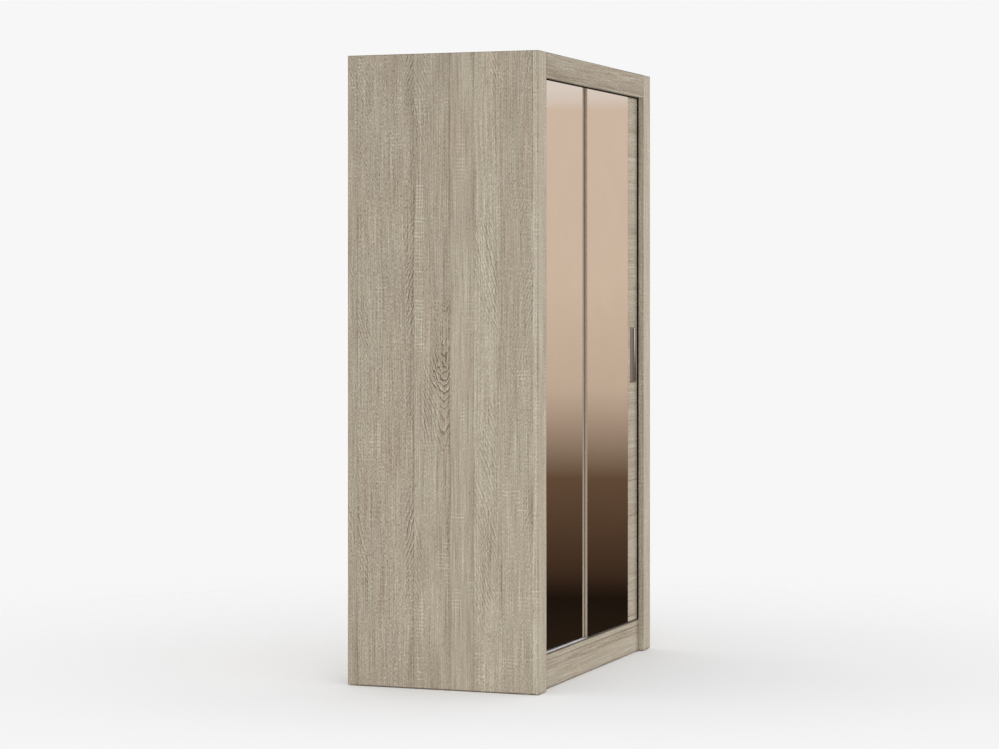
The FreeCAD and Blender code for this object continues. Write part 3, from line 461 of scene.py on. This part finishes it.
def speckled(
    name, colour, spread, rate, roughness, metallic=0.0, bump=0.00005, stretch=EVEN, specular=0.5
):
    """A finish with fine grain in its colour, gloss and relief."""
    material, net, shader = surface(name, Metallic=metallic)
    shader.inputs["Specular IOR Level"].default_value = specular
    place = {0: place_of(net), 1: stretch}
    where = net.node("VectorMath", place, operation="MULTIPLY").outputs[0]
    grain = net.noise(where, rate, 3.0, 0.6)
    broad = net.noise(where, rate / 14.0)
    both = net.add(net.mul(grain, 0.6), net.mul(broad, 0.4))
    dark = tuple(c * (1.0 - spread) for c in colour[:3]) + (1.0,)
    light = tuple(min(1.0, c * (1.0 + spread)) for c in colour[:3]) + (1.0,)
    gloss = net.smooth(both, 0.25, 0.75, roughness * 0.85, roughness * 1.15)
    net.feed(shader.inputs["Base Color"], net.ramp(both, [(0.3, dark), (0.7, light)]))
    net.feed(shader.inputs["Roughness"], gloss)
    net.feed(shader.inputs["Normal"], net.bump(grain, bump, 0.5))
    return material


def mirror_glass():
    """Silvered glass: a clear reflection on its faces and pale green at the ground edge."""
    material, net, shader = surface("mirror_glass")
    normal = net.split(net.node("NewGeometry").outputs["Normal"])[1]
    face = net.smooth(net.math("ABSOLUTE", normal), 0.80, 0.97)
    haze = net.noise(place_of(net), 9.0, 3.0)
    silver = net.mix(haze, linear(238, 240, 239), linear(245, 246, 246))
    gloss = net.smooth(net.add(face, net.mul(haze, 0.02)), 0.0, 1.0, 0.22, 0.004)
    net.feed(shader.inputs["Base Color"], net.mix(face, linear(126, 142, 134), silver))
    net.feed(shader.inputs["Metallic"], face)
    net.feed(shader.inputs["Roughness"], gloss)
    return material


def back_board():
    """Thin printed board with faint upright fibres."""
    material, net, shader = surface("back_board", Roughness=0.5)
    x, _, z = net.split(place_of(net))
    fibres = net.noise(net.vector(net.mul(x, 260.0), 0.0, net.mul(z, 18.0)), detail=3.0)
    colour = net.ramp(fibres, [(0.3, linear(214, 206, 190)), (0.7, linear(231, 224, 210))])
    net.feed(shader.inputs["Base Color"], colour)
    net.feed(shader.inputs["Normal"], net.bump(fibres, 0.0001, 0.4))
    return material


def beech():
    """Bare beech, whose grain runs along the dowels."""
    material, net, shader = surface("dowel_beech", Roughness=0.65)
    x, y, z = net.split(place_of(net))
    where = net.vector(net.mul(x, 60.0), net.mul(y, 900.0), net.mul(z, 900.0))
    flecks = net.noise(where, detail=3.0)
    colour = net.ramp(flecks, [(0.35, linear(205, 167, 120)), (0.7, linear(226, 194, 150))])
    net.feed(shader.inputs["Base Color"], colour)
    net.feed(shader.inputs["Normal"], net.bump(flecks, 0.0002, 0.6))
    return material


def brushed(net, shader, stretch, dark, light, patch, shade_colour, gloss):
    """Anodised metal with fine lines, and painted shade in another colour over one patch."""
    x, y, z = net.split(place_of(net))
    where = net.vector(*(net.mul(value, rate) for value, rate in zip((x, y, z), stretch)))
    grain = net.noise(where, 900.0, 3.0)
    metal = net.ramp(grain, [(0.3, dark), (0.7, light)])
    net.feed(shader.inputs["Base Color"], net.mix(patch, metal, shade_colour))
    net.feed(shader.inputs["Roughness"], net.smooth(grain, 0.25, 0.75, *gloss))
    net.feed(shader.inputs["Normal"], net.bump(grain, 0.00002, 0.5))


def profile_metal(node):
    """Champagne anodised profile with painted shade in its groove."""
    material, net, shader = surface("edge_profile_" + node, Metallic=0.65)
    lowest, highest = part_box(node)
    y = net.split(place_of(net))[1]
    off_centre = net.math("ABSOLUTE", net.math("SUBTRACT", y, (lowest.y + highest.y) / 2))
    # painted shade: the groove gets a darker colour
    groove = net.near(off_centre, GROOVE_HALF, GROOVE_HALF + 0.0003)
    dark, light, groove_shade = linear(178, 163, 147), linear(198, 184, 168), linear(128, 113, 98)
    brushed(net, shader, (3.0, 3.0, 0.04), dark, light, groove, groove_shade, (0.20, 0.30))
    return material


def track_metal():
    """Silver anodised tracks; the bottom one has painted shade along its front edge, in front of
    the doors.
    """
    material, net, shader = surface("track_aluminium", Metallic=0.35)
    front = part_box("bottom_track")[0].y
    _, y, z = net.split(place_of(net))
    # painted shade: a dark band TRACK_LIP deep along the bottom track's front edge
    front_shade = net.near(y, front + TRACK_LIP, front + TRACK_LIP + 0.001)
    front_shade = net.mul(front_shade, net.math("LESS_THAN", z, 1.0))
    dark, light, shadow = linear(221, 220, 226), linear(233, 232, 237), linear(92, 86, 88)
    brushed(net, shader, (0.04, 3.0, 3.0), dark, light, front_shade, shadow, (0.30, 0.40))
    return material


MATERIALS = {
    "back_board": back_board(),
    "mirror_glass": mirror_glass(),
    "track_aluminium": track_metal(),
    "pull_metal": speckled(
        "pull_metal", linear(163, 159, 156), spread=0.05, rate=900.0, roughness=0.05,
        metallic=1.0, bump=0.000002, stretch=(3.0, 3.0, 0.03),
    ),
    "zinc_steel": speckled(
        "zinc_steel", linear(188, 190, 194), spread=0.08, rate=500.0, roughness=0.36,
        metallic=0.95,
    ),
    "rail_chrome": speckled(
        "rail_chrome", linear(226, 228, 231), spread=0.02, rate=700.0, roughness=0.10,
        metallic=1.0, bump=0.00001, stretch=(0.05, 1.0, 1.0),
    ),
    "roller_plastic": speckled(
        "roller_plastic", linear(44, 44, 47), spread=0.12, rate=1500.0, roughness=0.42
    ),
    "pale_plastic": speckled(
        "pale_plastic", linear(204, 199, 190), spread=0.03, rate=1500.0, roughness=0.45
    ),
    # painted shade: the floor glides are a dark greige instead of pale plastic, as the shade under
    # the wardrobe
    "shaded_glide_plastic": speckled(
        "shaded_glide_plastic", linear(132, 120, 104), spread=0.05, rate=1500.0, roughness=0.55
    ),
    # near-black and barely shiny: the rubber's own dark colour, deepened as painted shade to the
    # shade of the gaps the seals and brush strips fill
    "bumper_rubber": speckled(
        "bumper_rubber", linear(20, 13, 7), spread=0.15, rate=1800.0, roughness=0.85,
        bump=0.0001, specular=0.06,
    ),
    "dowel_beech": beech(),
}

# Grain axis, shift across, shift along, tone and figure of the boards that have their own
OAK_BOARDS = {
    "left_side_panel": ("Z", 0.907, 0.0, 0.0, 1.0),
    "right_side_panel": ("Z", 0.031, 0.41, 0.0, 1.0),
    "left_stile": ("Z", 0.21, 0.13, 0.13, 0.3),
    "right_stile": ("Z", 0.46, 0.55, 0.14, 0.3),
    "top_fascia": ("X", 0.11, 0.2, -0.03, 0.4),
    "front_plinth": ("X", 0.52, 0.7, 0.09, 0.4),
    "bottom_panel": ("X", 0.33, 0.1, 0.07, 0.4),
    "right_door_panel": ("X", 0.10, 0.33, 0.03, 0.7),
    "left_door_panel": ("X", 0.17, 0.77, 0.03, 0.7),
}


def oak_for(node, number):
    """Laminate with a board's own settings, or grain along its longest side."""
    lowest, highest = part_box(node)
    size = highest - lowest
    longest = "XYZ"[max(range(3), key=lambda axis: size[axis])]
    settings = OAK_BOARDS.get(node, (longest, 0.173 * number, 0.291 * number, 0.0, 0.8))
    return oak(node, *settings)


for number, part in enumerate(frame["record"]["subparts"]):
    node, slot = part["node"], part["material_slot"]
    mesh = frame["nodes"][node].data
    mesh.materials.clear()
    if slot == "oak_laminate":
        material = oak_for(node, number)
    elif slot == "edge_profile":
        material = profile_metal(node)
    elif node == "floor_glides":
        material = MATERIALS["shaded_glide_plastic"]
    else:
        material = MATERIALS[slot]
    mesh.materials.append(material)

# ------------------------------------------------------------- brush strips, painted shade

TUFT_PITCH = 0.0032
TUFT_TAPER = 0.0004
BRISTLE_LENGTH = 0.0021
BRISTLE_UNEVENNESS = 0.0002
BRISTLE_HOLDER = 0.0007
BRUSH_SETBACK = 0.0009
BRUSH_DEPTH = 0.0022
BRUSH_END_GAP = 0.006


def shade_brush_strip(door):
    """A dark bristle strip under a door's front edge that ends just above the track: painted
    shade, a dark body that darkens the gap under the door.
    """
    lowest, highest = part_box(door + "_panel")
    first, last = lowest.x + BRUSH_END_GAP, highest.x - BRUSH_END_GAP
    front = lowest.y + BRUSH_SETBACK
    back = front + BRUSH_DEPTH
    top = lowest.z
    shape = bmesh.new()

    def taper(x0, x1, z0, z1, squeeze):
        """A block from z1 down to z0 whose foot is squeezed on both sides."""
        corners = []
        for z, pull_in in ((z1, 0.0), (z0, squeeze)):
            ends = ((x0 + pull_in, front + pull_in), (x1 - pull_in, front + pull_in))
            ends += ((x1 - pull_in, back - pull_in), (x0 + pull_in, back - pull_in))
            corners += [shape.verts.new((x, y, z)) for x, y in ends]
        shape.faces.new(corners[:4])
        shape.faces.new(corners[:3:-1])
        for side in range(4):
            after = (side + 1) % 4
            shape.faces.new((corners[side], corners[side + 4], corners[after + 4], corners[after]))

    taper(first, last, top - BRISTLE_HOLDER, top, 0.0)
    count = round((last - first) / TUFT_PITCH)
    step = (last - first) / count
    for tuft in range(count):
        foot = top - BRISTLE_LENGTH + BRISTLE_UNEVENNESS * math.sin(tuft * 2.4)
        x = first + tuft * step
        taper(x, x + step, foot, top - BRISTLE_HOLDER, TUFT_TAPER)
    mesh = bpy.data.meshes.new(door + "_shade_brush_strip")
    bmesh.ops.recalc_face_normals(shape, faces=shape.faces)
    shape.to_mesh(mesh)
    shape.free()
    mesh.materials.append(MATERIALS["bumper_rubber"])
    strip = bpy.data.objects.new(door + "_shade_brush_strip", mesh)
    bpy.context.scene.collection.objects.link(strip)
    strip.visible_glossy = False
    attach(strip, door)


# the strips are painted shade: they darken the shadow gap under each door
for door in ("left_door", "right_door"):
    shade_brush_strip(door)

# -------------------------------------------------------------------- studio

FLOOR_SIZE = 40.0
FLOOR_FADE = (0.9, 3.4)  # distances from the origin over which the floor fades out
PAPER_DARK = (0.942, 0.946, 0.956, 1.0)
PAPER_LIGHT = (0.952, 0.956, 0.966, 1.0)
BACKDROP = linear(247, 247, 247)
REFLECTION_STRENGTH = 1.12


def studio_floor():
    """A pale floor that fades into the backdrop a few metres out."""
    mesh = bpy.data.meshes.new("studio_floor")
    half = FLOOR_SIZE / 2
    corners = [(-half, -half, 0), (half, -half, 0), (half, half, 0), (-half, half, 0)]
    mesh.from_pydata(corners, [], [(0, 1, 2, 3)])
    floor = bpy.data.objects.new("studio_floor", mesh)
    bpy.context.scene.collection.objects.link(floor)
    material = bpy.data.materials.new("studio_floor")
    material.use_nodes = True
    net = Net(material.node_tree)
    where = place_of(net)
    away = net.node("VectorMath", {0: where}, operation="LENGTH").outputs["Value"]
    grain = net.noise(where, 160.0, 3.0)
    paper = net.ramp(grain, [(0.3, PAPER_DARK), (0.7, PAPER_LIGHT)])
    diffuse = net.node("BsdfDiffuse", {"Color": paper}).outputs[0]
    clear = net.node("BsdfTransparent").outputs[0]
    fade = net.node("MixShader", {0: net.smooth(away, *FLOOR_FADE), 1: diffuse, 2: clear})
    net.feed(net.node("OutputMaterial").inputs[0], fade.outputs[0])
    mesh.materials.append(material)
    floor.visible_glossy = False
    return floor


# What glossy rays see, by height: 0 is 30 degrees down or more, 0.5 level and 1 30 degrees up
ROOM_BEFORE_DOORS = (
    (0.00, linear(196, 184, 172)), (0.22, linear(150, 130, 112)), (0.34, linear(52, 38, 28)),
    (0.388, linear(27, 19, 12)), (0.396, linear(60, 42, 30)), (0.43, linear(96, 72, 54)),
    (0.462, linear(190, 166, 145)), (0.50, linear(203, 179, 158)), (0.563, linear(204, 180, 160)),
    (0.568, linear(214, 199, 188)), (0.75, linear(230, 220, 212)), (1.00, linear(240, 236, 232)),
)
PLAIN_WALL = (
    (0.00, linear(232, 228, 223)), (0.30, linear(196, 187, 177)), (0.44, linear(168, 155, 143)),
    (0.50, linear(198, 188, 178)), (0.60, linear(222, 216, 209)), (1.00, linear(243, 241, 238)),
)
PALE_ROUND = (
    (0.00, linear(196, 195, 193)), (0.28, linear(206, 204, 202)), (0.38, linear(228, 226, 223)),
    (0.42, linear(228, 226, 223)), (0.50, linear(170, 164, 158)), (0.60, linear(150, 142, 134)),
    (0.80, linear(235, 234, 232)), (1.00, linear(250, 250, 250)),
)
# Shading of the plain wall, by direction from far left (0) to far right (1)
WALL_SHADE = (
    (0.00, linear(255, 255, 255)), (0.515, linear(250, 250, 250)), (0.55, linear(170, 166, 164)),
    (0.57, linear(170, 166, 164)), (0.66, linear(186, 184, 184)), (0.80, linear(236, 238, 240)),
    (0.95, linear(255, 255, 255)),
)
WINDOW = (2.4, 2.35, 2.25, 1.0)


def studio_world():
    """White all round.  Reflections see soft bands instead, warm ones in front of the doors."""
    world = bpy.data.worlds.new("studio")
    bpy.context.scene.world = world
    world.use_nodes = True
    net = Net(world.node_tree)
    x, y, z = net.split(net.node("TexCoord").outputs["Generated"])
    height = net.math("ADD", z, 0.5, clamp=True)
    room = net.ramp(height, ROOM_BEFORE_DOORS)
    pale = net.ramp(height, PALE_ROUND)
    plain = net.ramp(height, PLAIN_WALL)
    wall = net.ramp(net.math("MULTIPLY_ADD", x, 0.5, 0.5), WALL_SHADE)
    room = net.mix(net.smooth(x, 0.72, 0.88), net.mix(1.0, plain, wall, "MULTIPLY"), room)
    # a narrow bright window, which the metal parts catch
    across = net.mul(net.smooth(x, 0.15, 0.18), net.near(x, 0.25, 0.29))
    upright = net.mul(net.smooth(z, -0.030, -0.022), net.near(z, 0.30, 0.36))
    room = net.mix(net.mul(across, upright), room, WINDOW)
    front = net.mul(net.near(y, -0.22, -0.05), net.smooth(x, -0.75, -0.55))
    seen = net.mix(front, pale, room)
    warm = net.node("Background", {"Color": seen, "Strength": REFLECTION_STRENGTH}).outputs[0]
    white = net.node("Background", {"Color": BACKDROP, "Strength": 1.0}).outputs[0]
    glossy = net.node("LightPath").outputs["Is Glossy Ray"]
    both = net.node("MixShader", {0: glossy, 1: white, 2: warm})
    net.feed(net.node("OutputWorld").inputs[0], both.outputs[0])


def soft_light(name, place, target, size, power):
    """A rectangle of light, width by height, that faces the target."""
    data = bpy.data.lights.new(name, "AREA")
    data.shape = "RECTANGLE"
    data.size, data.size_y = size
    data.energy = power
    light = bpy.data.objects.new(name, data)
    bpy.context.scene.collection.objects.link(light)
    light.location = place
    light.rotation_euler = (Vector(target) - Vector(place)).to_track_quat("-Z", "Y").to_euler()
    light.visible_glossy = False
    return light


middle = (low + high) / 2
floor = studio_floor()
studio_world()
soft_light("left_light", (-4.2, -1.4, 0.35), middle, size=(3.0, 0.7), power=54.0)
right_light = soft_light("right_light", (4.9, -3.05, 1.1), middle, size=(0.9, 2.0), power=160.0)

# The low right light models the front and leaves the floor alone
skipped = bpy.data.collections.new("right_light_skips")
skipped.objects.link(floor)
skipped.collection_objects[0].light_linking.link_state = "EXCLUDE"
right_light.light_linking.receiver_collection = skipped

# The mirrors show the studio, and not the frame and the door that stand right beside them
UNREFLECTED = (
    "right_door_", "left_stile", "right_stile", "top_fascia", "dust_seals",
    "bottom_track", "bottom_panel", "front_plinth",
)
for node in frame["nodes"]:
    if node.startswith(UNREFLECTED):
        frame["nodes"][node].visible_glossy = False

# -------------------------------------------------------------------- camera

# The camera stands to the left of the front and looks level.  Angles are in degrees
CAMERA_DISTANCE = 9.3632
CAMERA_BEARING = 70.0
VIEW_TURN = 69.86
EYE_HEIGHT = 1.2955
SENSOR_WIDTH = 36.0
FOCAL_LENGTH = 99.58
HORIZON_SHIFT = -0.09105

camera_data = bpy.data.cameras.new("camera")
camera_data.sensor_width = SENSOR_WIDTH
camera_data.lens = FOCAL_LENGTH
camera_data.shift_y = HORIZON_SHIFT
camera = bpy.data.objects.new("camera", camera_data)
bpy.context.scene.collection.objects.link(camera)
bearing = math.radians(CAMERA_BEARING)
to_left = CAMERA_DISTANCE * math.sin(bearing)
to_front = CAMERA_DISTANCE * math.cos(bearing)
camera.location = (-to_left, -to_front, EYE_HEIGHT)
camera.rotation_euler = (math.radians(90.0), 0.0, -math.radians(VIEW_TURN))
bpy.context.scene.camera = camera
bpy.context.scene.view_settings.view_transform = "Standard"
